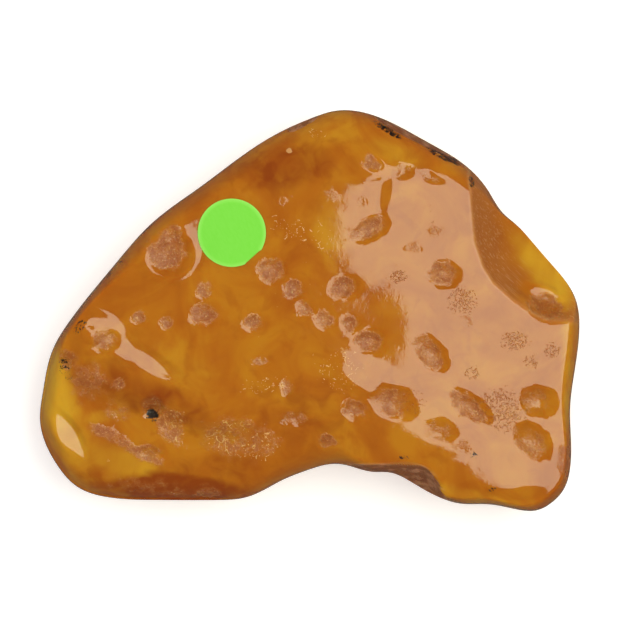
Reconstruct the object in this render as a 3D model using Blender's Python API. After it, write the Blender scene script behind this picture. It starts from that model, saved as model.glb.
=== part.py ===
"""Polished amber pebble that lies flat, with a round paper dot stuck on its top.

Lengths are in millimetres and become metres in the last step of each mesh. +X is the pebble's
long direction and +Z is up. The origin is on the surface that the pebble rests on, under the
middle of its outline.
"""

import math

import bmesh
import bpy
import numpy as np

MM = 0.001

# The outline seen from above, anticlockwise from the right end
OUTLINE = [
    (31.7, -1.8), (31.2, 1.6), (28.2, 5.8), (25.8, 8.6), (24.3, 10.2), (22.9, 11.4), (21.0, 14.2),
    (18.4, 17.1), (13.9, 19.9), (9.2, 22.4), (5.9, 23.5), (3.0, 23.6), (0.1, 22.7), (-3.1, 21.3),
    (-7.7, 18.5), (-13.8, 14.0), (-19.0, 10.0), (-23.9, 4.4), (-28.4, -1.3), (-30.1, -4.1),
    (-31.5, -9.8), (-31.8, -12.6), (-31.2, -15.4), (-29.7, -18.2), (-27.0, -20.9), (-23.7, -21.9),
    (-18.8, -22.2), (-10.5, -22.2), (-7.2, -21.8), (-3.9, -20.2), (-0.6, -18.8), (4.3, -18.1),
    (7.6, -18.9), (10.9, -19.5), (14.2, -21.4), (17.5, -22.6), (22.4, -22.9), (25.9, -23.5),
    (28.2, -22.7), (29.9, -20.9), (30.6, -18.6), (30.6, -12.0), (31.0, -7.9),
]
OUTLINE_SHIFT = (0.05, -0.1)

# Direction in degrees, how square the upper edge is there, height of the widest line
RIM = [
    (0, 26, 10.2), (18, 16, 9.6), (35, 9, 9.2), (50, 8, 9.4), (62, 8, 9.8), (80, 4.5, 10.2),
    (100, 4, 10.8), (122, 6, 10.6), (148, 7, 10.4), (165, 9, 9.8), (174, 14, 9.6), (183, 20, 9.4),
    (193, 12, 9.0), (207, 10, 8.8), (222, 5, 9.0), (240, 3.6, 9.6), (265, 3.8, 10.2), (285, 6, 10.4),
    (300, 12, 9.6), (315, 10, 9.4), (330, 16, 9.8), (343, 26, 10.2),
]

# The crown is a set of broad worn faces, blended where they meet: where each starts and its fall
CROWN_HEIGHT = 17.4
DOME_HEIGHT = 19.8
EDGE_BLEND = 8.0
RIDGE_X, RIDGE_BLEND = 5.0, 5.0
LEFT_FALL = 0.02
RIGHT_FALL = 0.085
FACE_BLEND = 4.0
FAR_LEFT_X, FAR_LEFT_FALL = -23.5, 0.03
LOWER_Y, LOWER_FALL = -12.4, 0.055
UPPER_X, UPPER_Y, UPPER_TILT, UPPER_FALL, UPPER_BLEND = 14.2, 15.9, 0.16, 0.40, 0.8
CORNER_X, CORNER_Y, CORNER_TILT, CORNER_FALL, CORNER_BLEND = 13.0, -15.1, 0.45, 0.18, 1.5
CORNER_LEFT = 3.0

# The steep chip in the top right edge
SCOOP_CREASE = [
    (17.9, 17.6), (18.8, 14.1), (19.0, 11.5), (19.4, 7.9), (20.3, 5.2), (21.4, 3.4), (23.6, 1.4),
    (25.9, -0.2), (28.2, -1.2), (32.4, -1.4),
]
SCOOP_START, SCOOP_X, SCOOP_SIDE_FALL = 16.2, 19.0, 0.08
SCOOP_DEPTH = 2.4
SCOOP_CURVE = 2.4
SCOOP_FALL = 0.40
SCOOP_BANK = 0.9
SCOOP_BLEND = 0.35

# A broken ledge in the lower edge and a worn strip along the top right edge, both steep
STEEP_FALL = 2.2
CREASE_BLEND = 0.5
LEDGE_START, LEDGE_Y = 15.6, -18.0
LEDGE_LEFT, LEDGE_LEFT_FALL, LEDGE_LEFT_BLEND = 3.2, 0.60, 0.6
LEDGE_RIGHT, LEDGE_RIGHT_FALL, LEDGE_RIGHT_BLEND = 12.5, 0.62, 1.2
BROW_START, BROW_X, BROW_Y, BROW_SLOPE = 16.2, 9.0, 20.9, -0.47
BROW_LEFT, BROW_LEFT_RISE, BROW_LEFT_BLEND = 8.5, 0.5, 0.5

# The long step across the left lobe, with a shallow groove along its foot
GROOVE = [(-29.6, -4.9), (-26.1, -8.2), (-21.7, -10.4), (-17.0, -12.0), (-11.1, -14.4), (-4.6, -15.3)]
STEP_DROP, STEP_WIDTH = 1.0, 0.75
GROOVE_DEPTH, GROOVE_HALF_WIDTH, GROOVE_OFFSET = 0.35, 1.5, 1.0
GROOVE_FADE = 0.25

# Low swells: centre x and y, height, half length, half width, turn in degrees
TOP_SWELLS = [
    (-1.1, 17.1, -0.20, 4.9, 2.8, 10),
    (13.5, -2.2, 0.24, 3.6, 4.8, 0),
    (10.4, 11.2, -0.15, 3.5, 4.0, 0),
]

# Stretches that lean a little more than their surroundings: centre x and y, half length, half width,
# turn in degrees, how much further each falls to the right and away from the viewer, and how far down
# the fall the line lies that keeps its height
LEANS = [
    (-24.4, -2.8, 3.9, 2.3, -12, 0.13, 0.02, 2.4),
    (-19.8, -5.8, 5.2, 1.25, -33, 0.13, 0.15, 0),
    (-28.8, -14.1, 3.1, 1.15, -55, 0.40, 0.30, 0),
    (6.6, -7.9, 4.6, 1.9, -24, 0.035, 0, 0),
    (5.2, 16.9, 3.0, 1.6, 0, -0.03, 0, 0),
    (21.8, -19.3, 4.8, 2.1, -14, 0, 0.08, 1.9),
]
LEAN_SOFTNESS = 0.7

BELLY_SWELLS = [
    (-20.0, -9.0, -0.9, 6.0, 5.0, 20),
    (20.0, -13.0, -0.8, 6.5, 5.0, -30),
    (-10.0, 9.0, 0.9, 7.0, 4.0, 40),
    (4.0, 16.0, -0.7, 5.0, 4.0, 0),
    (19.0, 2.0, 0.8, 5.0, 7.0, 10),
    (0.0, -14.0, 0.7, 8.0, 3.0, -5),
]

# Pits: centre x and y, half length, half width, turn in degrees, depth, raised lip
TOP_PITS = [
    (-16.4, 6.7, 2.9, 2.8, 0, 0.45, 0.16),
    (-15.8, 9.1, 1.4, 1.2, 0, 0.25, 0),
    (-4.3, 4.7, 2.1, 1.8, -20, 0.35, 0),
    (-1.7, 2.5, 1.5, 1.3, 0, 0.30, 0),
    (-0.3, 0.2, 1.4, 0.9, -20, 0.25, 0),
    (1.8, -1.1, 1.3, 1.2, 0, 0.25, 0),
    (4.2, 2.7, 2.0, 1.5, 0, 0.42, 0),
    (4.8, -1.6, 1.3, 1.1, -20, 0.30, 0),
    (7.1, -3.6, 2.1, 1.6, 0, 0.50, 0),
    (-12.1, -0.5, 2.0, 1.6, 0, 0.42, 0),
    (-6.5, -1.4, 1.4, 1.2, 0, 0.30, 0),
    (15.7, 4.2, 2.2, 1.9, 0, 0.50, 0),
    (14.3, -5.1, 2.9, 1.8, -50, 0.55, 0),
    (9.8, -10.8, 2.9, 2.1, -35, 0.60, 0),
    (5.4, -11.6, 1.8, 1.5, 0, 0.35, 0),
    (18.9, -11.4, 3.3, 1.6, -40, 0.50, 0),
    (26.8, -10.7, 2.6, 2.0, -15, 0.75, 0),
    (26.1, -15.4, 2.9, 2.1, -40, 0.70, 0),
    (15.4, -14.2, 2.0, 1.6, -20, 0.35, 0),
    (27.9, 0.3, 2.9, 2.0, -20, 0.75, 0),
    (7.1, 9.5, 2.8, 1.5, 30, 0.45, 0),
    (7.5, 17.2, 1.6, 1.1, -40, 0.25, 0),
    (11.1, 16.2, 1.4, 1.1, 30, 0.25, 0),
    (-23.9, -3.6, 1.9, 1.6, 0, 0.55, 0),
    (-28.2, -5.9, 1.5, 1.6, 0, 0.40, 0),
    (-18.3, -11.4, 1.6, 1.5, 0, 0.90, 0),
    (2.2, -15.3, 1.4, 1.1, 0, 0.25, 0),
    (-10.3, -14.8, 3.8, 2.1, -15, 0.35, 0),
    (-18.8, -16.7, 1.9, 1.1, 0, 0.25, 0),
]
BELLY_PITS = [
    (-15.0, 2.0, 2.6, 2.0, 30, 0.50, 0),
    (-20.0, -13.0, 2.2, 1.8, 0, 0.45, 0),
    (14.0, 6.0, 2.4, 1.8, -20, 0.50, 0),
    (18.0, -8.0, 2.8, 2.0, 15, 0.55, 0),
    (3.0, 15.0, 2.0, 1.6, 0, 0.40, 0),
    (21.0, -16.0, 2.2, 1.7, 0, 0.45, 0),
    (-7.0, 12.0, 1.6, 1.3, 0, 0.30, 0),
    (9.0, -9.0, 1.8, 1.4, 30, 0.35, 0),
    (-10.0, -7.0, 1.4, 1.2, 0, 0.25, 0),
    (-25.0, -9.0, 1.5, 1.2, 0, 0.25, 0),
    (24.0, -4.0, 1.6, 1.2, 0, 0.30, 0),
]

PIT_ROUNDNESS = 1.6
LIP_AT, LIP_WIDTH = 1.03, 0.15

# The belly dips a little below the resting plane and is flat where it meets it
BELLY_DIP = 0.20
BELLY_SHARPNESS = 2.8
BELLY_TILT = (-0.010, 0.020)
BELLY_TILT_FADE = 0.5
BELLY_BAND, BELLY_BAND_FADE = 0.35, 0.3

# Even quads over a ball, with more of them above the widest line than below it
GRID_CUTS = 56
RIM_LATITUDE = -15.0
FACES_KEPT = 0.235

# The paper dot
DOT_CENTRE = (-9.1, 9.1)
DOT_DIAMETER = 8.0
DOT_THICKNESS = 0.15
DOT_GAP = 0.3
DOT_SEGMENTS = 40
DOT_RINGS = 4
DOT_TRIM_DIRECTION = -48.0
DOT_TRIM = 0.26

AMBER_COLOUR = (0.45, 0.15, 0.02, 1.0)
AMBER_ROUGHNESS = 0.15
PAPER_COLOUR = (0.212, 0.768, 0.065, 1.0)
PAPER_ROUGHNESS = 0.6
SHARP_ANGLE = 50.0


def clear_scene():
    for item in list(bpy.data.objects):
        bpy.data.objects.remove(item, do_unlink=True)


def plain_material(name, colour, roughness):
    material = bpy.data.materials.new(name)
    material.use_nodes = True
    shader = material.node_tree.nodes["Principled BSDF"]
    shader.inputs["Base Color"].default_value = colour
    shader.inputs["Roughness"].default_value = roughness
    return material


def smooth_ring(angles, values):
    """A smooth function of direction that passes through each value, all the way round."""
    order = np.argsort(np.mod(angles, 2 * np.pi))
    angle = np.mod(angles, 2 * np.pi)[order]
    value = np.array(values, float)[order]
    count = len(angle)
    step = np.diff(np.append(angle, angle[0] + 2 * np.pi))
    matrix = np.zeros((count, count))
    slopes = np.zeros(count)
    for i in range(count):
        before, after = i - 1, (i + 1) % count
        matrix[i, before] = step[before]
        matrix[i, i] = 2 * (step[before] + step[i])
        matrix[i, after] = step[i]
        slopes[i] = (value[after] - value[i]) / step[i] - (value[i] - value[before]) / step[before]
    bend = np.linalg.solve(matrix, 6 * slopes)

    def at(direction):
        direction = np.mod(direction - angle[0], 2 * np.pi) + angle[0]
        i = np.clip(np.searchsorted(angle, direction, side="right") - 1, 0, count - 1)
        j = (i + 1) % count
        t = direction - angle[i]
        w = step[i]
        curved = (bend[i] * (w - t) ** 3 + bend[j] * t**3) / (6 * w)
        return curved + (value[i] / w - bend[i] * w / 6) * (w - t) + (value[j] / w - bend[j] * w / 6) * t

    return at


def outline_ring():
    points = np.array(OUTLINE) + OUTLINE_SHIFT
    return smooth_ring(np.arctan2(points[:, 1], points[:, 0]), np.hypot(points[:, 0], points[:, 1]))


RIM_DIRECTIONS = np.radians([row[0] for row in RIM])
radius_at = outline_ring()
edge_sharpness_at = smooth_ring(RIM_DIRECTIONS, [row[1] for row in RIM])
rim_height_at = smooth_ring(RIM_DIRECTIONS, [row[2] for row in RIM])


def soft_min(a, b, width):
    share = np.clip(0.5 + 0.5 * (b - a) / width, 0, 1)
    return b * (1 - share) + a * share - width * share * (1 - share)


def ramp(distance, width):
    """Zero on the negative side, the distance itself on the positive side, rounded between."""
    return width * np.logaddexp(0, distance / width)


def fade(share):
    share = np.clip(share, 0, 1)
    return share * share * (3 - 2 * share)


def line_distance(x, y, points):
    """Distance to a line of points, positive on its left, and the share of the line passed there."""
    nearest = np.full(np.shape(x), 1e9)
    signed = np.zeros(np.shape(x))
    along = np.zeros(np.shape(x))
    lengths = [math.dist(a, b) for a, b in zip(points, points[1:])]
    done = 0.0
    for (ax, ay), (bx, by), length in zip(points, points[1:], lengths):
        ux, uy = (bx - ax) / length, (by - ay) / length
        t = np.clip((x - ax) * ux + (y - ay) * uy, 0, length)
        distance = np.hypot(x - ax - t * ux, y - ay - t * uy)
        left = np.sign(ux * (y - ay) - uy * (x - ax))
        closer = distance < nearest
        nearest = np.where(closer, distance, nearest)
        signed = np.where(closer, distance * left, signed)
        along = np.where(closer, (done + t) / sum(lengths), along)
        done += length
    return signed, along


def oval_distance(x, y, cx, cy, half_length, half_width, turn):
    """Distance from an oval's centre, as a share of its own size."""
    c, s = math.cos(math.radians(turn)), math.sin(math.radians(turn))
    dx, dy = x - cx, y - cy
    return np.hypot((dx * c + dy * s) / half_length, (dy * c - dx * s) / half_width)


def add_swells(z, x, y, swells, share=1.0):
    for cx, cy, height, half_length, half_width, turn in swells:
        away = oval_distance(x, y, cx, cy, half_length, half_width, turn)
        z = z + share * height * np.exp(-0.5 * away**2)
    return z


def add_leans(z, x, y):
    for cx, cy, half_length, half_width, turn, right_fall, far_fall, hinge in LEANS:
        away = oval_distance(x, y, cx, cy, half_length, half_width, turn)
        share = fade((1 + LEAN_SOFTNESS / 2 - away) / LEAN_SOFTNESS)
        fallen = right_fall * (x - cx) + far_fall * (y - cy) - hinge * math.hypot(right_fall, far_fall)
        z = z - fallen * share
    return z


def pit_relief(x, y, pits):
    """How far the pits lower the surface, less the raised lip that a few of them have."""
    depth = np.zeros(np.shape(x))
    for cx, cy, half_length, half_width, turn, deepest, lip in pits:
        away = oval_distance(x, y, cx, cy, half_length, half_width, turn)
        depth = depth + deepest * np.clip(1 - away**2, 0, None) ** PIT_ROUNDNESS
        if lip:
            depth = depth - lip * np.exp(-0.5 * ((away - LIP_AT) / LIP_WIDTH) ** 2)
    return depth


def crown(x, y):
    """The broad worn faces of the top, which fall away from a ridge right of the middle."""
    z = CROWN_HEIGHT - RIGHT_FALL * ramp(x - RIDGE_X, RIDGE_BLEND)
    z = z - LEFT_FALL * ramp(RIDGE_X - x, RIDGE_BLEND)
    z = z - FAR_LEFT_FALL * ramp(FAR_LEFT_X - x, FACE_BLEND)
    z = z - LOWER_FALL * ramp(LOWER_Y - y, FACE_BLEND)
    z = z - UPPER_FALL * ramp(y - UPPER_Y + UPPER_TILT * (x - UPPER_X), UPPER_BLEND)
    corner_x = CORNER_LEFT + ramp(x - CORNER_LEFT, CORNER_BLEND)
    corner_y = CORNER_Y - CORNER_TILT * (corner_x - CORNER_X)
    return z - CORNER_FALL * ramp(corner_y - y, CORNER_BLEND)


def ledge(x, y):
    """The steep face below a crease that turns down towards the outline at both of its ends."""
    crease_y = LEDGE_Y - LEDGE_LEFT_FALL * ramp(LEDGE_LEFT - x, LEDGE_LEFT_BLEND)
    crease_y = crease_y - LEDGE_RIGHT_FALL * ramp(x - LEDGE_RIGHT, LEDGE_RIGHT_BLEND)
    return LEDGE_START - STEEP_FALL * (crease_y - y)


def brow(x, y):
    """The steep strip above a slanting crease, which bends up to the outline at its left end."""
    crease_y = BROW_Y + BROW_SLOPE * (x - BROW_X)
    crease_y = crease_y + BROW_LEFT_RISE * ramp(BROW_LEFT - x, BROW_LEFT_BLEND)
    return BROW_START - STEEP_FALL * (y - crease_y)


def scoop(x, y):
    signed, _ = line_distance(x, y, SCOOP_CREASE)
    outside = np.clip(signed, 0, None)
    floor = SCOOP_START - SCOOP_SIDE_FALL * (x - SCOOP_X) - SCOOP_FALL * outside
    floor = floor - SCOOP_DEPTH * (1 - np.exp(-outside / SCOOP_CURVE))
    return floor + SCOOP_BANK * np.clip(-signed, 0, None)


def top_height(x, y):
    direction = np.arctan2(y, x)
    share = np.clip(np.hypot(x, y) / radius_at(direction), 0, 1)
    rim = rim_height_at(direction)
    sharpness = edge_sharpness_at(direction)
    dome = rim + (DOME_HEIGHT - rim) * np.sqrt(1 - share**sharpness)
    z = soft_min(crown(x, y), dome, EDGE_BLEND / sharpness)
    z = soft_min(z, ledge(x, y), CREASE_BLEND)
    z = soft_min(z, brow(x, y), CREASE_BLEND)
    z = soft_min(z, scoop(x, y), SCOOP_BLEND)
    signed, along = line_distance(x, y, GROOVE)
    step = STEP_DROP / (1 + np.exp(signed / STEP_WIDTH))
    foot = GROOVE_DEPTH * np.exp(-0.5 * ((signed + GROOVE_OFFSET) / GROOVE_HALF_WIDTH) ** 2)
    z = z - (step + foot) * fade((1 - along) / GROOVE_FADE)
    z = add_leans(add_swells(z, x, y, TOP_SWELLS), x, y)
    return z - pit_relief(x, y, TOP_PITS)


def belly_height(x, y):
    direction = np.arctan2(y, x)
    share = np.clip(np.hypot(x, y) / radius_at(direction), 0, 1)
    rim = rim_height_at(direction)
    z = rim - (rim + BELLY_DIP) * np.sqrt(1 - share**BELLY_SHARPNESS)
    z = z + (BELLY_TILT[0] * x + BELLY_TILT[1] * y) * fade((1 - share) / BELLY_TILT_FADE)
    middle_band = fade((share - BELLY_BAND) / BELLY_BAND_FADE) * fade((1 - share) / BELLY_BAND_FADE)
    z = add_swells(z, x, y, BELLY_SWELLS, middle_band)
    z = z + pit_relief(x, y, BELLY_PITS) * middle_band
    return z


def pebble_points(ball):
    """Moves points of a unit ball onto the pebble: latitude sets how far out, direction how wide."""
    direction = np.arctan2(ball[:, 1], ball[:, 0])
    latitude = np.degrees(np.arcsin(np.clip(ball[:, 2], -1, 1)))
    upper = latitude >= RIM_LATITUDE
    turn = np.where(upper, (90 - latitude) / (90 - RIM_LATITUDE), (90 + latitude) / (90 + RIM_LATITUDE))
    reach = np.sin(turn * math.pi / 2) * radius_at(direction)
    x, y = reach * np.cos(direction), reach * np.sin(direction)
    return np.column_stack([x, y, np.where(upper, top_height(x, y), belly_height(x, y))])


def even_ball(cuts):
    """A cube cut into even quads and rounded into a ball of radius 1."""
    shape = bmesh.new()
    bmesh.ops.create_cube(shape, size=2.0)
    bmesh.ops.subdivide_edges(shape, edges=shape.edges[:], cuts=cuts, use_grid_fill=True)
    for vert in shape.verts:
        for axis in range(3):
            vert.co[axis] = math.tan(vert.co[axis] * math.pi / 4)
        vert.co.normalize()
    return shape


def mesh_object(name, shape, material):
    """Finishes a bmesh that is in millimetres as a named object in metres."""
    bmesh.ops.scale(shape, vec=(MM, MM, MM), verts=shape.verts[:])
    bmesh.ops.recalc_face_normals(shape, faces=shape.faces[:])
    mesh = bpy.data.meshes.new(name)
    shape.to_mesh(mesh)
    shape.free()
    mesh.materials.append(material)
    part = bpy.data.objects.new(name, mesh)
    bpy.context.collection.objects.link(part)
    return part


def thin_out(part, share):
    """Spends the faces where the surface bends, and leaves few on the even stretches."""
    decimate = part.modifiers.new("Fewer faces", "DECIMATE")
    decimate.ratio = share
    bpy.context.view_layer.objects.active = part
    bpy.ops.object.modifier_apply(modifier=decimate.name)


def cut_flat_spot(part):
    """Cuts the belly off at the resting plane, which leaves the small flat that the pebble lies on."""
    shape = bmesh.new()
    shape.from_mesh(part.data)
    everything = shape.verts[:] + shape.edges[:] + shape.faces[:]
    bmesh.ops.bisect_plane(shape, geom=everything, plane_co=(0, 0, 0), plane_no=(0, 0, -1), clear_outer=True)
    open_edges = [edge for edge in shape.edges if edge.is_boundary]
    bmesh.ops.edgeloop_fill(shape, edges=open_edges)
    shape.to_mesh(part.data)
    shape.free()


def build_pebble():
    ball = even_ball(GRID_CUTS)
    places = pebble_points(np.array([vert.co for vert in ball.verts]))
    for vert, place in zip(ball.verts, places):
        vert.co = place
    pebble = mesh_object("amber_pebble", ball, plain_material("amber", AMBER_COLOUR, AMBER_ROUGHNESS))
    thin_out(pebble, FACES_KEPT)
    cut_flat_spot(pebble)
    pebble.data.shade_smooth()
    pebble.data.set_sharp_from_angle(angle=math.radians(SHARP_ANGLE))
    return pebble


def build_dot():
    """The paper dot: rings of faces laid over the pebble's top, with one trimmed edge."""
    shape = bmesh.new()
    radius = DOT_DIAMETER / 2
    bmesh.ops.create_circle(shape, cap_ends=True, radius=radius, segments=DOT_SEGMENTS)
    (middle,) = shape.faces[:]
    for _ in range(DOT_RINGS):
        step = radius / (DOT_RINGS + 1)
        bmesh.ops.inset_region(shape, faces=[middle], thickness=step, use_boundary=True)
    trim = math.radians(DOT_TRIM_DIRECTION)
    for vert in shape.verts:
        past = vert.co.x * math.cos(trim) + vert.co.y * math.sin(trim) - (radius - DOT_TRIM)
        if past > 0:
            vert.co.x -= past * math.cos(trim)
            vert.co.y -= past * math.sin(trim)
    upper = bmesh.ops.extrude_face_region(shape, geom=shape.faces[:])["geom"]
    raised = {item for item in upper if isinstance(item, bmesh.types.BMVert)}
    for vert in shape.verts:
        x, y = vert.co.x + DOT_CENTRE[0], vert.co.y + DOT_CENTRE[1]
        lift = DOT_GAP + (DOT_THICKNESS if vert in raised else 0)
        vert.co = (x, y, float(top_height(np.array(x), np.array(y))) + lift)
    dot = mesh_object("paper_dot", shape, plain_material("green paper", PAPER_COLOUR, PAPER_ROUGHNESS))
    dot.data.shade_smooth()
    dot.data.set_sharp_from_angle(angle=math.radians(SHARP_ANGLE))
    return dot


clear_scene()
build_pebble()
build_dot()
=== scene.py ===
# %% [markdown]
# The subject is one piece of opaque, butterscotch-coloured amber, worn by the sea and polished all over.
# It lies on its flatter side on a small flat spot. A round dot of green paper is stuck on its upper face.
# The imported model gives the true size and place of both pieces. This script dresses each of them in a
# finer skin of the same form, and everything here is in metres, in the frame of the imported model.

# %% Load the frame
import bpy
import math
import numpy as np
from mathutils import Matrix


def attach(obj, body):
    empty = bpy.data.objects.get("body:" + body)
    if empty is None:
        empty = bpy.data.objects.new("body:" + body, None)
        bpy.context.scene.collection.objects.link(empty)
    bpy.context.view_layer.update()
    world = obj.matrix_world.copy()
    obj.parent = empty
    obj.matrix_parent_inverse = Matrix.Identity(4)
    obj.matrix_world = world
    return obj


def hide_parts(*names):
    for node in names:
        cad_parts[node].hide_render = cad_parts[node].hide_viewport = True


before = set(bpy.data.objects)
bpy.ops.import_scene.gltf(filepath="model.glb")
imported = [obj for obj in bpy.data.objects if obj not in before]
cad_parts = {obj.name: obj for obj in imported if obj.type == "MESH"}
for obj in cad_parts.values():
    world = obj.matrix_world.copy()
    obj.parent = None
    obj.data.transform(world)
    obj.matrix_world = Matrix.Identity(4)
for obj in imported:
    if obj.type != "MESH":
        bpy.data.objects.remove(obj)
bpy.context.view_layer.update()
MM = 0.001
print("packed nodes:", sorted(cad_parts))

# %% [markdown]
# The pebble is seen from straight above, with no visible perspective, so the camera stands high over it
# with a very long lens. A camera that looks exactly down has no natural up direction, so it gets one by
# hand: its turn stays at zero, which puts +Y at the top of the picture.

# %% Place the camera
PICTURE_WIDTH = 72.94 * MM
CAMERA_DISTANCE = 1.5
CAMERA_PLACE = 0.06 * MM
FOCUS_HEIGHT = 10 * MM
SENSOR_WIDTH = 36.0

camera_data = bpy.data.cameras.new("camera")
camera_data.sensor_width = SENSOR_WIDTH
camera_data.lens = SENSOR_WIDTH * CAMERA_DISTANCE / PICTURE_WIDTH
camera_data.clip_end = 20.0
camera = bpy.data.objects.new("camera", camera_data)
camera.location = (CAMERA_PLACE, CAMERA_PLACE, CAMERA_DISTANCE + FOCUS_HEIGHT)
bpy.context.collection.objects.link(camera)
bpy.context.scene.camera = camera
print("lens:", round(camera_data.lens), "mm")

# %% [markdown]
# A polished stone is mostly seen by what it mirrors. One large softbox stands over the right-hand side:
# wherever the surface leans a little that way, it mirrors the softbox and a pale veil lies over the
# amber. Its size and place therefore decide the outline of that veil.

# %% Set up the softbox
LIGHT_HEIGHT = 1.5
LIGHT_LEFT, LIGHT_RIGHT = 0.105, 1.53
LIGHT_NEAR, LIGHT_FAR = -0.42, 0.765
LIGHT_RADIANCE = 3.8
LIGHT_COLOUR = (1.0, 0.99, 0.80)


def hang_light(name, width, depth, place, radiance, colour):
    """A panel that shines straight down. Its power follows from its radiance and its area."""
    data = bpy.data.lights.new(name, "AREA")
    data.shape = "RECTANGLE"
    data.size, data.size_y = width, depth
    data.color = colour
    data.energy = radiance * math.pi * width * depth
    light = bpy.data.objects.new(name, data)
    light.location = place
    light.visible_camera = False
    bpy.context.collection.objects.link(light)
    print(name + ":", round(width, 2), "x", round(depth, 2), "m,", round(data.energy, 1), "W")
    return light


softbox_place = ((LIGHT_LEFT + LIGHT_RIGHT) / 2, (LIGHT_NEAR + LIGHT_FAR) / 2, LIGHT_HEIGHT)
light_width, light_depth = LIGHT_RIGHT - LIGHT_LEFT, LIGHT_FAR - LIGHT_NEAR
hang_light("softbox", light_width, light_depth, softbox_place, LIGHT_RADIANCE, LIGHT_COLOUR)

# %% [markdown]
# The softbox alone would leave the left side dark. A second, much larger panel, overhead and a little
# to the left, lights everything evenly. It is switched off for reflections, so that it adds no veil of
# its own.

# %% Add the overhead panel
PANEL_SIZE = 3.6
PANEL_PLACE = (-0.9, 0.3, 1.6)
PANEL_RADIANCE = 1.2
WHITE = (1.0, 1.0, 1.0)

panel = hang_light("overhead panel", PANEL_SIZE, PANEL_SIZE, PANEL_PLACE, PANEL_RADIANCE, WHITE)
panel.visible_glossy = False

# %% [markdown]
# The room behind it all is only dimly lit, a little brighter near the horizon. The steep flanks mirror
# it, so a bright room would turn them grey.

# %% Light the room dimly
HORIZON_LIGHT = 0.08
OVERHEAD_LIGHT = 0.05
BRIGHT_BELOW, DARK_ABOVE = math.sin(math.radians(10)), math.sin(math.radians(50))

world = bpy.data.worlds.new("room")
world.use_nodes = True
bpy.context.scene.world = world
sky = world.node_tree
direction = sky.nodes.new("ShaderNodeTexCoord")
parts = sky.nodes.new("ShaderNodeSeparateXYZ")
fall = sky.nodes.new("ShaderNodeMapRange")
fall.interpolation_type = "SMOOTHSTEP"
levels = {
    "From Min": BRIGHT_BELOW, "From Max": DARK_ABOVE, "To Min": HORIZON_LIGHT, "To Max": OVERHEAD_LIGHT
}
for key, level in levels.items():
    fall.inputs[key].default_value = level
sky.links.new(direction.outputs["Generated"], parts.inputs["Vector"])
sky.links.new(parts.outputs["Z"], fall.inputs["Value"])
sky.nodes["Background"].inputs["Color"].default_value = (*WHITE, 1.0)
sky.links.new(fall.outputs["Result"], sky.nodes["Background"].inputs["Strength"])
bpy.context.scene.view_settings.view_transform = "Standard"
print("room light:", HORIZON_LIGHT, "at the horizon,", OVERHEAD_LIGHT, "overhead")

# %% [markdown]
# The floor is a plain pale sheet. It glows a little, as a light table does, so that the shadow under
# the pebble stays faint. The photograph shows no pale floor mirrored in the polished rim, so the floor is
# switched off for reflections too, as the panel was.

# %% Lay the floor
FLOOR_SIZE = 4.0
FLOOR_COLOUR = (0.9, 0.9, 0.9, 1.0)
FLOOR_ROUGHNESS = 0.8
FLOOR_GLOW = 0.35

bpy.ops.object.select_all(action="DESELECT")
bpy.ops.mesh.primitive_plane_add(size=FLOOR_SIZE)
floor = bpy.context.object
floor.name = "floor"
paper = bpy.data.materials.new("pale floor")
paper.use_nodes = True
floor_shader = paper.node_tree.nodes["Principled BSDF"]
floor_shader.inputs["Base Color"].default_value = FLOOR_COLOUR
floor_shader.inputs["Roughness"].default_value = FLOOR_ROUGHNESS
floor_shader.inputs["Emission Color"].default_value = (*WHITE, 1.0)
floor_shader.inputs["Emission Strength"].default_value = FLOOR_GLOW
floor.data.materials.append(paper)
floor.visible_glossy = False
print("floor:", FLOOR_SIZE, "m square")

# %% [markdown]
# The form is written as two heights over each point of the plan: one for the upper side, one for the
# belly. Sculpting by hand could give it too, but a formula can be tuned by a tenth of a millimetre, and
# here that matters: a lean of two degrees decides whether a face mirrors the softbox. The numbers below
# are in millimetres.

# %% The outline seen from above
# Anticlockwise from the right end
OUTLINE = [
    (31.7, -1.8), (31.2, 1.6), (28.2, 5.8), (25.8, 8.6), (24.3, 10.2), (22.9, 11.4), (21.0, 14.2),
    (18.4, 17.1), (13.9, 19.9), (9.2, 22.4), (5.9, 23.5), (3.0, 23.6), (0.1, 22.7), (-3.1, 21.3),
    (-7.7, 18.5), (-13.8, 14.0), (-19.0, 10.0), (-23.9, 4.4), (-28.4, -1.3), (-30.1, -4.1),
    (-31.5, -9.8), (-31.8, -12.6), (-31.2, -15.4), (-29.7, -18.2), (-27.0, -20.9), (-23.7, -21.9),
    (-18.8, -22.2), (-10.5, -22.2), (-7.2, -21.8), (-3.9, -20.2), (-0.6, -18.8), (4.3, -18.1),
    (7.6, -18.9), (10.9, -19.5), (14.2, -21.4), (17.5, -22.6), (22.4, -22.9), (25.9, -23.5),
    (28.2, -22.7), (29.9, -20.9), (30.6, -18.6), (30.6, -12.0), (31.0, -7.9),
]
OUTLINE_SHIFT = (0.05, -0.1)

# Direction in degrees, how square the upper edge is there, height of the widest line
RIM = [
    (0, 10, 10.2), (18, 14, 9.6), (35, 9, 9.2), (50, 8, 9.4), (62, 8, 9.8), (80, 4.5, 10.2),
    (100, 4, 10.8), (122, 6, 10.6), (148, 7, 10.4), (165, 9, 9.8), (174, 14, 9.6), (183, 20, 9.4),
    (193, 12, 9.0), (207, 10, 8.8), (222, 5, 9.0), (240, 3.6, 9.6), (265, 3.8, 10.2), (285, 6, 10.4),
    (300, 12, 9.6), (315, 10, 9.4), (330, 13, 9.8), (343, 10, 10.2),
]
print("outline:", len(OUTLINE), "points, and the edge described in", len(RIM), "directions")

# %% [markdown]
# The crown is a set of broad worn faces that blend where they meet. Each has a line where it starts and
# a fall, which is how far it drops per millimetre beyond that line. These falls are gentle, two to ten
# degrees, and the softbox shows in every face that leans to the right.

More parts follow.
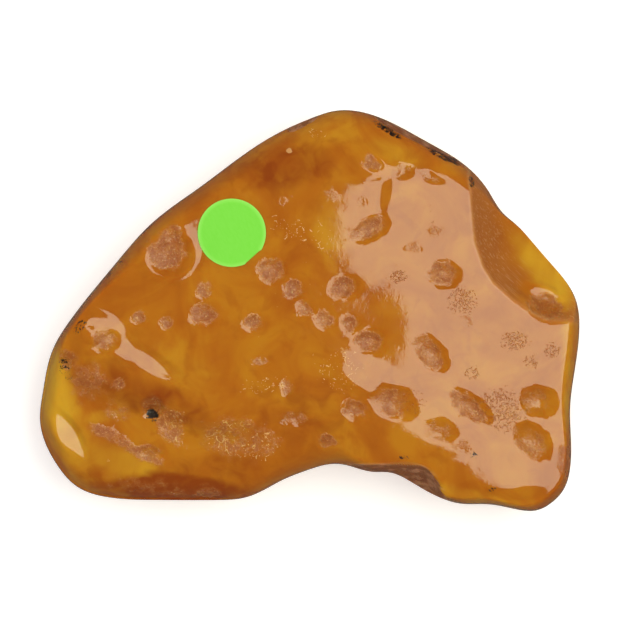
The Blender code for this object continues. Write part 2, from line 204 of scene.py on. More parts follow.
# %% The broad faces of the crown
CROWN_HEIGHT = 17.4
DOME_HEIGHT = 19.8
EDGE_BLEND = 8.0
RIDGE_X, RIDGE_BLEND = 5.0, 5.0
LEFT_FALL = 0.02
RIGHT_FALL = 0.085
FACE_BLEND = 4.0
FAR_LEFT_X, FAR_LEFT_FALL = -23.5, 0.03
LOWER_Y, LOWER_FALL = -12.4, 0.055
UPPER_X, UPPER_Y, UPPER_TILT, UPPER_FALL, UPPER_BLEND = 14.2, 15.9, 0.16, 0.40, 0.8
CORNER_X, CORNER_Y, CORNER_TILT, CORNER_FALL, CORNER_BLEND = 13.0, -15.1, 0.45, 0.18, 1.5
CORNER_LEFT = 3.0
print("crown:", CROWN_HEIGHT, "mm high at most")

# %% [markdown]
# Three pieces have broken out of the edge. The largest is the chip at the top right, hollow and brushed.
# The other two are steep: a ledge in the lower edge and a worn strip, the brow, along the upper right.
# Each is a surface of its own, and the pebble takes the lowest of them all.

# %% The chip, the ledge and the brow
SCOOP_CREASE = [
    (17.9, 17.6), (18.8, 14.1), (19.0, 11.5), (19.4, 7.9), (20.3, 5.2), (21.4, 3.4), (23.6, 1.4),
    (25.9, -0.2), (28.2, -1.2), (32.4, -1.4),
]
SCOOP_START, SCOOP_X, SCOOP_SIDE_FALL = 16.2, 19.0, 0.08
SCOOP_DEPTH = 2.4
SCOOP_CURVE = 2.4
SCOOP_FALL = 0.40
SCOOP_BANK = 0.9
SCOOP_BLEND = 0.35
STEEP_FALL = 2.2
CREASE_BLEND = 0.5
LEDGE_START, LEDGE_Y = 15.6, -18.0
LEDGE_LEFT, LEDGE_LEFT_FALL, LEDGE_LEFT_BLEND = 3.2, 0.60, 0.6
LEDGE_RIGHT, LEDGE_RIGHT_FALL, LEDGE_RIGHT_BLEND = 14.6, 2.5, 0.7
BROW_START, BROW_X, BROW_Y, BROW_SLOPE = 16.2, 9.0, 20.9, -0.47
BROW_LEFT, BROW_LEFT_RISE, BROW_LEFT_BLEND = 8.5, 0.5, 0.5
print("chip crease:", len(SCOOP_CREASE), "points")

# %% [markdown]
# A long step crosses the left lobe, with a shallow groove along its foot. A few low swells and hollows
# are worn into the faces, and some stretches lean a little more than their surroundings. The leans are
# what shapes the smaller highlights, such as the one with a long tail on the left.

# %% The step, the swells and the leans
GROOVE = [(-29.6, -5.4), (-26.1, -8.7), (-21.7, -10.7), (-17.0, -12.0), (-11.1, -14.4), (-4.6, -15.3)]
STEP_DROP, STEP_WIDTH = 1.0, 0.62
GROOVE_DEPTH, GROOVE_HALF_WIDTH, GROOVE_OFFSET = 0.35, 1.5, 1.0
GROOVE_FADE = 0.25

# Centre x and y, height, half length, half width, turn in degrees
TOP_SWELLS = [
    (-1.1, 17.1, -0.20, 4.9, 2.8, 10), (13.5, -2.2, 0.24, 3.6, 4.8, 0),
    (10.4, 11.2, -0.15, 3.5, 4.0, 0),
]

# Centre x and y, half length, half width, turn in degrees, how much further it falls to the right and
# away from the viewer, and how far down the fall the line lies that keeps its height
LEANS = [
    (-24.3, -3.3, 3.8, 2.5, -38, 0.13, -0.02, 3.0), (-21.0, -4.9, 6.0, 1.25, -27, 0.165, 0.15, 0),
    (-28.8, -14.2, 3.4, 1.4, -52, 0.40, 0.30, 0), (6.9, -7.9, 4.8, 1.9, -24, 0.035, 0, 4.2),
    (6.4, 17.1, 3.0, 1.9, 0, -0.045, 0, 3.0), (21.8, -19.3, 4.8, 2.1, -14, 0, 0.08, 1.9),
    (9.0, 13.9, 3.2, 1.0, 80, -0.06, 0, 0), (26.8, 2.2, 2.6, 1.0, -15, -0.25, -0.40, 0),
    (-16.0, 8.0, 4.4, 3.6, 0, 0.05, -0.09, 0),
]
LEAN_SOFTNESS = 0.7
BELLY_SWELLS = [
    (-20.0, -9.0, -0.9, 6.0, 5.0, 20), (20.0, -13.0, -0.8, 6.5, 5.0, -30),
    (-10.0, 9.0, 0.9, 7.0, 4.0, 40), (4.0, 16.0, -0.7, 5.0, 4.0, 0), (19.0, 2.0, 0.8, 5.0, 7.0, 10),
    (0.0, -14.0, 0.7, 8.0, 3.0, -5),
]
print("leans:", len(LEANS), "and swells:", len(TOP_SWELLS) + len(BELLY_SWELLS))

# %% [markdown]
# The pits are worn ovals, two to six millimetres across and only a few tenths deep. Most hold some
# crust, and the widest has a low raised lip. The photograph shows only the upper side, so the pits of
# the belly are a guess in the same manner.

# %% The pits
# Centre x and y, half length, half width, turn in degrees, depth, crust (0 to 1), raised lip
TOP_PITS = [
    (-16.4, 6.7, 2.9, 2.8, 0, 0.45, 1.0, 0.16), (-15.8, 9.1, 1.4, 1.2, 0, 0.25, 0.8, 0),
    (-4.3, 4.7, 2.1, 1.8, -20, 0.35, 0.9, 0), (-1.7, 2.5, 1.5, 1.3, 0, 0.30, 0.9, 0),
    (-0.3, 0.2, 1.4, 0.9, -20, 0.25, 0.8, 0), (1.8, -1.1, 1.3, 1.2, 0, 0.25, 0.9, 0),
    (4.2, 2.7, 2.0, 1.5, 0, 0.42, 1.0, 0), (4.8, -1.6, 1.3, 1.1, -20, 0.30, 1.0, 0),
    (7.1, -3.6, 2.1, 1.6, 0, 0.50, 1.0, 0), (-12.1, -0.5, 2.0, 1.6, 0, 0.42, 1.0, 0),
    (-12.2, 2.2, 1.1, 1.3, 0, 0.20, 0.7, 0), (-19.9, -0.9, 1.1, 0.9, 0, 0.20, 0.9, 0),
    (-16.6, -1.5, 1.1, 0.9, 0, 0.20, 0.9, 0), (-6.5, -1.4, 1.4, 1.2, 0, 0.30, 0.9, 0),
    (15.7, 4.2, 2.2, 1.9, 0, 0.50, 0.8, 0), (14.3, -5.1, 2.9, 1.8, -50, 0.55, 0.8, 0),
    (9.8, -10.8, 2.9, 2.1, -35, 0.60, 0.8, 0), (5.4, -11.6, 1.8, 1.5, 0, 0.35, 0.9, 0),
    (18.9, -11.4, 3.3, 1.6, -40, 0.50, 0.9, 0), (26.8, -10.7, 2.6, 2.0, -15, 0.75, 0.5, 0),
    (26.1, -15.4, 2.9, 2.1, -40, 0.70, 0.6, 0), (15.4, -14.2, 2.0, 1.6, -20, 0.35, 0.5, 0),
    (18.1, -15.9, 1.2, 0.9, -60, 0.05, 0.4, 0), (27.9, 0.3, 2.9, 2.0, -20, 0.75, 1.0, 0),
    (7.1, 9.5, 2.8, 1.5, 30, 0.45, 0.9, 0), (6.1, 12.6, 0.8, 0.7, 0, 0.04, 0.5, 0),
    (7.5, 17.2, 1.6, 1.1, -40, 0.25, 0.9, 0), (11.1, 16.2, 1.4, 1.1, 30, 0.25, 0.5, 0),
    (14.4, 15.5, 1.9, 0.7, -20, 0.20, 0.3, 0), (-23.9, -3.6, 1.9, 1.6, 0, 0.55, 0.8, 0),
    (-28.2, -5.9, 1.5, 1.6, 0, 0.40, 1.0, 0), (-18.3, -11.4, 1.6, 1.5, 0, 0.90, 0.8, 0),
    (-22.3, -8.7, 1.2, 0.9, 0, 0.20, 0.9, 0), (2.2, -15.3, 1.4, 1.1, 0, 0.25, 0.9, 0),
    (-1.7, -12.6, 2.1, 1.1, 0, 0.18, 0.6, 0), (-2.5, -9.1, 0.8, 1.2, 0, 0.15, 0.6, 0),
    (-5.6, -6.0, 1.3, 0.7, 0, 0.15, 0.7, 0), (-8.4, -14.7, 3.8, 2.1, -12, 0.30, 0.6, 0),
    (18.5, -1.3, 1.1, 0.9, 0, 0.03, 0.6, 0), (15.0, 9.2, 1.2, 1.1, 0, 0.03, 0.5, 0),
    (12.2, 7.3, 1.1, 0.9, 0, 0.03, 0.5, 0), (-18.8, -16.7, 1.9, 1.1, 0, 0.25, 0.9, 0),
    (-16.2, -12.9, 1.7, 1.8, 0, 0.20, 0.7, 0),
]
BELLY_PITS = [
    (-15.0, 2.0, 2.6, 2.0, 30, 0.50, 0.9, 0), (-20.0, -13.0, 2.2, 1.8, 0, 0.45, 0.9, 0),
    (14.0, 6.0, 2.4, 1.8, -20, 0.50, 0.9, 0), (18.0, -8.0, 2.8, 2.0, 15, 0.55, 0.9, 0),
    (3.0, 15.0, 2.0, 1.6, 0, 0.40, 0.8, 0), (21.0, -16.0, 2.2, 1.7, 0, 0.45, 0.8, 0),
    (-7.0, 12.0, 1.6, 1.3, 0, 0.30, 0.8, 0), (9.0, -9.0, 1.8, 1.4, 30, 0.35, 0.9, 0),
    (-10.0, -7.0, 1.4, 1.2, 0, 0.25, 0.9, 0), (-25.0, -9.0, 1.5, 1.2, 0, 0.25, 0.8, 0),
    (24.0, -4.0, 1.6, 1.2, 0, 0.30, 0.8, 0),
]
print("pits:", len(TOP_PITS), "above,", len(BELLY_PITS), "below")

# %% [markdown]
# The belly is also a guess: a shallow bowl that dips a little below the resting plane and is cut flat
# there, so that the pebble rests on a flat spot.

# %% The belly
BELLY_DIP = 0.20
BELLY_SHARPNESS = 2.8
BELLY_TILT = (-0.010, 0.020)
BELLY_TILT_FADE = 0.5
BELLY_BAND, BELLY_BAND_FADE = 0.35, 0.3
print("belly: dips", BELLY_DIP, "mm below the resting plane")

# %% [markdown]
# Next come the tools that turn these numbers into surfaces. The first draws a smooth closed curve
# through a ring of values, as a cyclic spline does. It gives the outline its radius in any direction.


# %% A smooth ring through given values
def smooth_ring(angles, values):
    """A smooth function of direction that passes through each value, all the way round."""
    order = np.argsort(np.mod(angles, 2 * np.pi))
    angle = np.mod(angles, 2 * np.pi)[order]
    value = np.array(values, float)[order]
    count = len(angle)
    step = np.diff(np.append(angle, angle[0] + 2 * np.pi))
    matrix = np.zeros((count, count))
    slopes = np.zeros(count)
    for i in range(count):
        before, after = i - 1, (i + 1) % count
        matrix[i, before] = step[before]
        matrix[i, i] = 2 * (step[before] + step[i])
        matrix[i, after] = step[i]
        slopes[i] = (value[after] - value[i]) / step[i] - (value[i] - value[before]) / step[before]
    bend = np.linalg.solve(matrix, 6 * slopes)

    def at(direction):
        direction = np.mod(direction - angle[0], 2 * np.pi) + angle[0]
        i = np.clip(np.searchsorted(angle, direction, side="right") - 1, 0, count - 1)
        j = (i + 1) % count
        t = direction - angle[i]
        w = step[i]
        curved = (bend[i] * (w - t) ** 3 + bend[j] * t**3) / (6 * w)
        return curved + (value[i] / w - bend[i] * w / 6) * (w - t) + (value[j] / w - bend[j] * w / 6) * t

    return at


def outline_ring():
    points = np.array(OUTLINE) + OUTLINE_SHIFT
    return smooth_ring(np.arctan2(points[:, 1], points[:, 0]), np.hypot(points[:, 0], points[:, 1]))


RIM_DIRECTIONS = np.radians([row[0] for row in RIM])
radius_at = outline_ring()
edge_sharpness_at = smooth_ring(RIM_DIRECTIONS, [row[1] for row in RIM])
rim_height_at = smooth_ring(RIM_DIRECTIONS, [row[2] for row in RIM])
print("radius to the right:", round(float(radius_at(np.array(0.0))), 2), "mm")

# %% [markdown]
# Four small functions do the blending: the lower of two surfaces with a rounded crease, a rounded ramp,
# a soft step from 0 to 1, and the distance to an oval. A fifth gives the distance to a bent line.


# %% Blends and distances
def soft_min(a, b, width):
    share = np.clip(0.5 + 0.5 * (b - a) / width, 0, 1)
    return b * (1 - share) + a * share - width * share * (1 - share)


def ramp(distance, width):
    """Zero on the negative side, the distance itself on the positive side, rounded between."""
    return width * np.logaddexp(0, distance / width)


def fade(share):
    share = np.clip(share, 0, 1)
    return share * share * (3 - 2 * share)


def oval_distance(x, y, cx, cy, half_length, half_width, turn):
    """Distance from an oval's centre, as a share of its own size."""
    c, s = math.cos(math.radians(turn)), math.sin(math.radians(turn))
    dx, dy = x - cx, y - cy
    return np.hypot((dx * c + dy * s) / half_length, (dy * c - dx * s) / half_width)


# %% Distance to a bent line
def line_distance(x, y, points):
    """Distance to a line of points, positive on its left, and the share of the line passed there."""
    nearest = np.full(np.shape(x), 1e9)
    signed = np.zeros(np.shape(x))
    along = np.zeros(np.shape(x))
    lengths = [math.dist(a, b) for a, b in zip(points, points[1:])]
    done = 0.0
    for (ax, ay), (bx, by), length in zip(points, points[1:], lengths):
        ux, uy = (bx - ax) / length, (by - ay) / length
        t = np.clip((x - ax) * ux + (y - ay) * uy, 0, length)
        distance = np.hypot(x - ax - t * ux, y - ay - t * uy)
        left = np.sign(ux * (y - ay) - uy * (x - ax))
        closer = distance < nearest
        nearest = np.where(closer, distance, nearest)
        signed = np.where(closer, distance * left, signed)
        along = np.where(closer, (done + t) / sum(lengths), along)
        done += length
    return signed, along


print("helpers ready")

# %% [markdown]
# Swells, leans and pits are added to a height one after another. A slow drift of a tenth of a millimetre
# keeps the pits from being true ovals.

# %% Swells, leans and pits
PIT_ROUNDNESS = 1.6
LIP_AT, LIP_WIDTH = 1.03, 0.15
DRIFT = 0.10
RELIEF_EDGE = 0.012


def add_swells(z, x, y, swells, share=1.0):
    for cx, cy, height, half_length, half_width, turn in swells:
        away = oval_distance(x, y, cx, cy, half_length, half_width, turn)
        z = z + share * height * np.exp(-0.5 * away**2)
    return z


def add_leans(z, x, y):
    for cx, cy, half_length, half_width, turn, right_fall, far_fall, hinge in LEANS:
        away = oval_distance(x, y, cx, cy, half_length, half_width, turn)
        share = fade((1 + LEAN_SOFTNESS / 2 - away) / LEAN_SOFTNESS)
        fallen = right_fall * (x - cx) + far_fall * (y - cy) - hinge * math.hypot(right_fall, far_fall)
        z = z - fallen * share
    return z


def drift(x, y):
    """A small irregular shift, in millimetres, that keeps the pits from being true ovals."""
    shift_x = np.sin(2.1 * x + 1.3 * y) + 0.7 * np.sin(4.3 * y - 1.7 * x + 2.0)
    shift_y = np.sin(2.3 * y - 1.1 * x + 1.0) + 0.7 * np.sin(3.9 * x + 1.9 * y)
    return DRIFT * shift_x, DRIFT * shift_y


def pit_relief(x, y, pits):
    """How far the pits lower the surface, less a raised lip where one is given."""
    depth = np.zeros(np.shape(x))
    drift_x, drift_y = drift(x, y)
    for cx, cy, half_length, half_width, turn, deepest, _, lip in pits:
        away = oval_distance(x + drift_x, y + drift_y, cx, cy, half_length, half_width, turn)
        depth = depth + deepest * np.clip(1 - away**2, 0, None) ** PIT_ROUNDNESS
        if lip:
            away = oval_distance(x, y, cx, cy, half_length, half_width, turn)
            depth = depth - lip * np.exp(-0.5 * ((away - LIP_AT) / LIP_WIDTH) ** 2)
    return depth


print("small relief ready")


# %% The crown and the three broken faces
def crown(x, y):
    """The broad worn faces of the top, which fall away from a ridge right of the middle."""
    z = CROWN_HEIGHT - RIGHT_FALL * ramp(x - RIDGE_X, RIDGE_BLEND)
    z = z - LEFT_FALL * ramp(RIDGE_X - x, RIDGE_BLEND)
    z = z - FAR_LEFT_FALL * ramp(FAR_LEFT_X - x, FACE_BLEND)
    z = z - LOWER_FALL * ramp(LOWER_Y - y, FACE_BLEND)
    z = z - UPPER_FALL * ramp(y - UPPER_Y + UPPER_TILT * (x - UPPER_X), UPPER_BLEND)
    corner_x = CORNER_LEFT + ramp(x - CORNER_LEFT, CORNER_BLEND)
    corner_y = CORNER_Y - CORNER_TILT * (corner_x - CORNER_X)
    return z - CORNER_FALL * ramp(corner_y - y, CORNER_BLEND)


def ledge(x, y):
    """The steep face below a crease that turns down towards the outline at both of its ends."""
    crease_y = LEDGE_Y - LEDGE_LEFT_FALL * ramp(LEDGE_LEFT - x, LEDGE_LEFT_BLEND)
    crease_y = crease_y - LEDGE_RIGHT_FALL * ramp(x - LEDGE_RIGHT, LEDGE_RIGHT_BLEND)
    return LEDGE_START - STEEP_FALL * (crease_y - y)


def brow(x, y):
    """The steep strip above a slanting crease, which bends up to the outline at its left end."""
    crease_y = BROW_Y + BROW_SLOPE * (x - BROW_X)
    crease_y = crease_y + BROW_LEFT_RISE * ramp(BROW_LEFT - x, BROW_LEFT_BLEND)
    return BROW_START - STEEP_FALL * (y - crease_y)


def scoop(x, y):
    signed, _ = line_distance(x, y, SCOOP_CREASE)
    outside = np.clip(signed, 0, None)
    floor = SCOOP_START - SCOOP_SIDE_FALL * (x - SCOOP_X) - SCOOP_FALL * outside
    floor = floor - SCOOP_DEPTH * (1 - np.exp(-outside / SCOOP_CURVE))
    return floor + SCOOP_BANK * np.clip(-signed, 0, None)


print("crown in the middle:", round(float(crown(0.0, 0.0)), 2), "mm")

# %% [markdown]
# Now everything comes together. The upper surface is the lowest of the crown, a dome that rounds its
# edge, and the broken faces. The step, swells, leans and pits are worn into it, and they fade out at the
# widest line, where the upper and the lower surface must meet at one height.


# %% The upper and the lower surface
def top_height(x, y):
    direction = np.arctan2(y, x)
    share = np.clip(np.hypot(x, y) / radius_at(direction), 0, 1)
    rim = rim_height_at(direction)
    sharpness = edge_sharpness_at(direction)
    dome = rim + (DOME_HEIGHT - rim) * np.sqrt(1 - share**sharpness)
    z = soft_min(crown(x, y), dome, EDGE_BLEND / sharpness)
    z = soft_min(z, ledge(x, y), CREASE_BLEND)
    z = soft_min(z, brow(x, y), CREASE_BLEND)
    z = soft_min(z, scoop(x, y), SCOOP_BLEND)
    signed, along = line_distance(x, y, GROOVE)
    step = STEP_DROP / (1 + np.exp(signed / STEP_WIDTH))
    foot = GROOVE_DEPTH * np.exp(-0.5 * ((signed + GROOVE_OFFSET) / GROOVE_HALF_WIDTH) ** 2)
    worn = z - (step + foot) * fade((1 - along) / GROOVE_FADE)
    worn = add_leans(add_swells(worn, x, y, TOP_SWELLS), x, y) - pit_relief(x, y, TOP_PITS)
    return z + (worn - z) * fade((1 - share) / RELIEF_EDGE)


def belly_height(x, y):
    direction = np.arctan2(y, x)
    share = np.clip(np.hypot(x, y) / radius_at(direction), 0, 1)
    rim = rim_height_at(direction)
    z = rim - (rim + BELLY_DIP) * np.sqrt(1 - share**BELLY_SHARPNESS)
    z = z + (BELLY_TILT[0] * x + BELLY_TILT[1] * y) * fade((1 - share) / BELLY_TILT_FADE)
    middle_band = fade((share - BELLY_BAND) / BELLY_BAND_FADE) * fade((1 - share) / BELLY_BAND_FADE)
    z = add_swells(z, x, y, BELLY_SWELLS, middle_band)
    z = z + pit_relief(x, y, BELLY_PITS) * middle_band
    return np.clip(z, 0, None)


middle = np.array(0.0)
thickness = top_height(middle, middle) - belly_height(middle, middle)
print("thickness in the middle:", round(float(thickness), 2), "mm")

# %% [markdown]
# A ball of even quads is the best start for a worn stone, because it has no poles. A cube is cut into
# a grid of 128 quads along each side, and its points are spread evenly over a ball. Each point is then
# moved onto the pebble: its latitude says how far out it goes, its direction where. More rows are given
# to the upper side, which carries the fine pits.

# %% Cut a cube into an even grid
FIRST_CUTS, SECOND_CUTS = 31, 3
RIM_LATITUDE = -22.0

bpy.ops.object.select_all(action="DESELECT")
bpy.ops.mesh.primitive_cube_add(size=2.0)
pebble = bpy.context.object
pebble.name = "amber_pebble_skin"
bpy.ops.object.mode_set(mode="EDIT")
bpy.ops.mesh.select_all(action="SELECT")
bpy.ops.mesh.subdivide(number_cuts=FIRST_CUTS)
bpy.ops.mesh.subdivide(number_cuts=SECOND_CUTS)
bpy.ops.object.mode_set(mode="OBJECT")
print("grid:", len(pebble.data.polygons), "quads")


# %% Round the cube into a ball, and the ball into the pebble
def read_points(mesh):
    flat = np.empty(3 * len(mesh.vertices))
    mesh.vertices.foreach_get("co", flat)
    return flat.reshape(-1, 3)


def pebble_points(ball):
    """Moves points of a unit ball onto the pebble, in millimetres."""
    direction = np.arctan2(ball[:, 1], ball[:, 0])
    latitude = np.degrees(np.arcsin(np.clip(ball[:, 2], -1, 1)))
    upper = latitude >= RIM_LATITUDE
    turn = np.where(upper, (90 - latitude) / (90 - RIM_LATITUDE), (90 + latitude) / (90 + RIM_LATITUDE))
    reach = np.sin(turn * math.pi / 2) * radius_at(direction)
    x, y = reach * np.cos(direction), reach * np.sin(direction)
    return np.column_stack([x, y, np.where(upper, top_height(x, y), belly_height(x, y))]), upper


cube = np.tan(read_points(pebble.data) * math.pi / 4)
ball = cube / np.linalg.norm(cube, axis=1)[:, None]
places, is_upper = pebble_points(ball)
pebble.data.vertices.foreach_set("co", (places * MM).ravel())
pebble.data.update()
bpy.ops.object.mode_set(mode="EDIT")
bpy.ops.mesh.normals_make_consistent(inside=False)
bpy.ops.object.mode_set(mode="OBJECT")
print("pebble:", [round(float(side), 2) for side in np.ptp(places, axis=0)], "mm")

# %% [markdown]
# The finish changes from place to place: rough crust in the pits, soot-black cracks near the rim, honey
# yellow that is partly clearer amber and partly a painted glow of light through the thin rims, and
# red-brown clouds that are partly the stone's own and partly painted shade below the step and along the
# lower edge. Each of these gets a mask, a number from 0 to 1 kept on every point of the mesh. The masks
# are laid down as soft ovals, listed one by one, as with a brush in Weight Paint, and the shaders break
# up their edges later. Below the widest line they fade out along a wandering border.

# %% A brush that lays down soft ovals
x, y, z = places.T
under_rim = rim_height_at(np.arctan2(y, x)) - z
reach_below = 2.6 + 1.2 * np.sin(0.5 * x - 0.35 * y) + 0.9 * np.sin(1.3 * x + 0.9 * y)
top_share = fade(1.2 - under_rim / reach_below)


def brushed(ovals, softness=0.6, reach=None):
    """The strongest of several ovals: centre x and y, half length, half width, turn, strength.

    With a reach, in millimetres, an oval also ends that far above and below its centre, so that a
    small mark near the edge does not run down the side of the pebble.
    """
    mask = np.zeros(len(x))
    for cx, cy, half_length, half_width, turn, strength in ovals:
        away = oval_distance(x, y, cx, cy, half_length, half_width, turn)
        if reach:
            away = np.hypot(away, (z - top_height(np.array(cx), np.array(cy))) / reach)
        mask = np.maximum(mask, strength * fade((1 + softness / 2 - away) / softness))
    return mask * top_share


def keep_mask(name, values):
    attribute = pebble.data.attributes.new(name, "FLOAT", "POINT")
    attribute.data.foreach_set("value", np.clip(values, 0, 1).astype(np.float32))
    print("mask", name, "covers", round(100 * float(np.mean(values > 0.1)), 1), "% of the points")


# %% Crust in the pits, above and below
CRUST_PATCHES = [
    (-8.6, -14.8, 4.8, 2.4, -10, 0.62), (-23.3, -14.7, 3.0, 0.8, -26, 0.85),
    (-19.4, -16.9, 2.4, 0.8, -22, 0.9), (-25.9, -8.3, 2.3, 2.3, 0, 0.66),
    (-22.4, -11.7, 1.6, 1.6, 0, 0.50), (-16.4, -13.4, 1.7, 2.2, 0, 0.8),
    (29.8, -17.6, 0.8, 1.9, 0, 1.0), (-11.9, -21.4, 1.6, 0.6, 0, 0.9),
    (-17.5, -20.8, 7.0, 1.2, -4, 0.34), (13.0, -19.8, 2.6, 0.9, -38, 0.8),
    (2.4, 13.4, 1.0, 0.8, 0, 0.45), (-2.9, 12.9, 1.2, 0.6, 20, 0.35),
]
CRUST_SIZE = 0.92
CRUST_SHIFT = (-0.10, 0.06)


def pit_crust(pits):
    """Crust in each pit, a little to the left of its middle: the right wall is left smooth."""
    crust = np.zeros(len(x))
    for cx, cy, half_length, half_width, turn, _, strength, _ in pits:
        cx, cy = cx + CRUST_SHIFT[0] * half_length, cy + CRUST_SHIFT[1] * half_width
        away = oval_distance(x + drift_x, y + drift_y, cx, cy, half_length, half_width, turn)
        crust = np.maximum(crust, strength * fade((CRUST_SIZE - away) / 0.5 + 0.2))
    return crust


drift_x, drift_y = drift(x, y)
crust = np.maximum(pit_crust(TOP_PITS) * top_share, np.where(is_upper, 0.0, pit_crust(BELLY_PITS)))
crust = np.maximum(crust, brushed(CRUST_PATCHES, 0.9))
keep_mask("crust", crust)

# %% Colour clouds, with a painted glow at the rims and painted shade in the groove
# Honey yellow: partly clearer amber, partly a painted glow of light through the thin rims, where most of
# these ovals lie.
HONEY_AND_GLOW_CLOUDS = [
    (-29.6, -10.5, 2.4, 6.0, 8, 1.0), (-27.5, -16.0, 2.2, 4.5, 25, 0.65),
    (-22.4, -17.8, 5.6, 2.1, -18, 0.62), (10.6, 18.4, 3.8, 1.5, -28, 0.5),
    (27.8, 4.4, 5.6, 1.8, -50, 0.85), (3.6, 21.4, 4.5, 1.7, 4, 0.25), (4.4, 16.2, 2.6, 2.4, 0, 0.15),
    (17.1, -21.6, 8.5, 1.1, -12, 0.5), (30.2, -8.0, 0.7, 8.0, 0, 0.5),
    (-17.2, -6.0, 7.0, 2.6, -20, 0.3), (2.4, 9.4, 2.0, 4.5, 0, 0.35), (-24.4, -12.4, 2.2, 0.9, 10, 0.6),
]
# Red-brown: partly the stone's own clouds, partly painted shade: the shadow of the step along the groove
# and the darker lower edge.
EMBER_AND_SHADE_CLOUDS = [
    (-2.6, 16.9, 5.6, 2.6, 12, 0.75), (-4.6, 16.4, 1.0, 1.6, -20, 1.1),
    (-20.4, -9.6, 5.6, 2.0, -24, 0.75), (-17.8, -10.2, 2.6, 1.6, 0, 0.85),
    (-16.0, -20.9, 7.5, 1.6, -3, 1.3), (-14.0, -12.2, 4.0, 1.6, -22, 0.5),
    (-1.1, -11.8, 6.0, 3.6, 0, 0.35), (-9.5, -18.6, 7.0, 1.6, -4, 0.4),
    (20.9, 9.4, 4.4, 1.6, -70, 0.35), (-24.9, -8.3, 2.6, 1.6, 0, 0.5),
    (-24.0, -20.4, 5.5, 1.4, -18, 0.4),
]
# The honey mask holds a painted glow as well as clearer amber; the ember mask holds painted shade as well
# as red-brown clouds.
keep_mask("honey_and_glow", brushed(HONEY_AND_GLOW_CLOUDS, 1.3))
keep_mask("ember_and_shade", brushed(EMBER_AND_SHADE_CLOUDS, 1.3))

# %% Black specks and cracks, mostly along the upper edges
SOOT_MARKS = [
    (9.1, 21.2, 2.4, 0.40, -32, 1.0), (15.4, 18.2, 2.2, 0.55, -26, 1.0),
    (16.9, 17.6, 1.0, 0.7, -40, 1.1), (19.0, 15.2, 0.45, 1.0, 0, 0.9),
    (-19.2, 9.5, 0.8, 0.9, -40, 0.75), (-22.2, 5.8, 0.8, 0.6, 45, 0.65),
    (-23.5, 4.3, 1.4, 0.6, 50, 0.65), (-26.9, -1.9, 1.2, 0.6, 50, 0.75),
    (-28.7, -6.4, 0.9, 1.2, 0, 0.75), (-28.2, -7.8, 0.7, 0.6, 0, 0.6), (-1.6, 21.6, 1.4, 0.5, 38, 0.6),
    (-13.4, -21.3, 3.0, 0.5, 0, 0.40), (-20.3, -20.9, 1.6, 0.5, 0, 0.5),
    (-7.5, 18.6, 2.2, 0.6, 30, 0.6), (19.3, -17.0, 0.6, 0.5, -40, 0.8), (25.0, -19.1, 0.7, 0.4, 0, 0.5),
    (21.4, -21.0, 0.7, 0.4, 10, 0.75), (11.0, -17.2, 0.8, 0.4, 0, 0.8),
]
SOOT_REACH = 1.7
keep_mask("soot", brushed(SOOT_MARKS, 0.9, SOOT_REACH) * fade(-under_rim / 2.2))

# %% Worn specks that break up the gloss, and glittering grains
SPECKLE_PATCHES = [
    (17.8, 1.2, 2.0, 2.0, 0, 0.9), (24.1, -3.6, 1.9, 1.4, 0, 0.9), (28.4, -4.7, 1.1, 1.2, 0, 0.9),
    (26.0, -5.9, 1.1, 1.1, 0, 0.8), (10.4, 4.0, 1.4, 0.9, 0, 0.9), (19.1, -7.3, 1.2, 1.0, 0, 0.8),
    (22.4, -11.6, 3.4, 3.0, -20, 0.85), (12.2, -10.6, 2.0, 2.0, 0, 0.6), (14.1, 10.6, 2.0, 3.0, 0, 0.5),
    (20.0, -3.0, 6.0, 5.0, 0, 0.35), (19.0, -16.0, 5.0, 2.0, -20, 0.4),
]
SPARKLE_PATCHES = [
    (3.6, -6.9, 3.4, 3.0, -20, 1.0), (-2.2, 9.5, 3.4, 1.6, -20, 1.0), (0.9, 8.4, 1.8, 2.6, -20, 0.8),
    (-5.2, -8.7, 3.6, 1.3, 8, 0.9), (0.2, 2.0, 7.0, 6.0, 0, 0.45), (-8.0, -15.2, 5.4, 2.6, -10, 1.0),
    (-16.0, -13.4, 2.6, 2.6, -20, 0.8), (1.1, 20.8, 2.0, 0.8, -5, 0.8), (-9.0, 3.0, 6.0, 4.0, 0, 0.4),
    (-22.0, -18.0, 4.0, 2.0, -20, 0.4),
]
keep_mask("speckle", brushed(SPECKLE_PATCHES, 1.0))
keep_mask("sparkle", brushed(SPARKLE_PATCHES, 1.2))

# %% The broken edges, and a painted highlight along the creases
BREAK_REACH = 0.5
CHIP_REACH = 5.5
# How far the painted highlight along the creases of the ledge and the chip reaches, in millimetres:
CREASE_HIGHLIGHT_REACH = 0.22
WORN_REACH = 1.8
CLEAN_PATCH = (27.4, 1.6, 3.2, 2.4, -20, 1.0)
WORN_PATCHES = [(-0.9, 21.9, 2.2, 0.7, 33, 0.9), (-6.0, 19.6, 2.0, 0.4, 33, 0.6)]


def below(surface, others):
    """1 where this surface lies under the others, so that it is the one that shows."""
    return top_share * fade((others - surface) / BREAK_REACH + 0.5)


whole = crown(x, y)
creases = np.minimum(abs(ledge(x, y) - whole), abs(scoop(x, y) - whole))
broken = np.maximum(below(ledge(x, y), whole), below(brow(x, y), whole))
broken = np.maximum(broken, brushed(WORN_PATCHES, reach=WORN_REACH))
into_chip, _ = line_distance(x, y, SCOOP_CREASE)
keep_mask("broken", broken)
brushed_part = below(scoop(x, y), whole) * (1 - broken) * fade((CHIP_REACH - into_chip) / 4)
keep_mask("chip", brushed_part * (1 - brushed([CLEAN_PATCH])))
# A painted highlight: a pale line along the creases of the ledge and the chip, standing in for light
# caught by the crease edge.
keep_mask("crease highlight", top_share * np.exp(-((creases / CREASE_HIGHLIGHT_REACH) ** 2)))

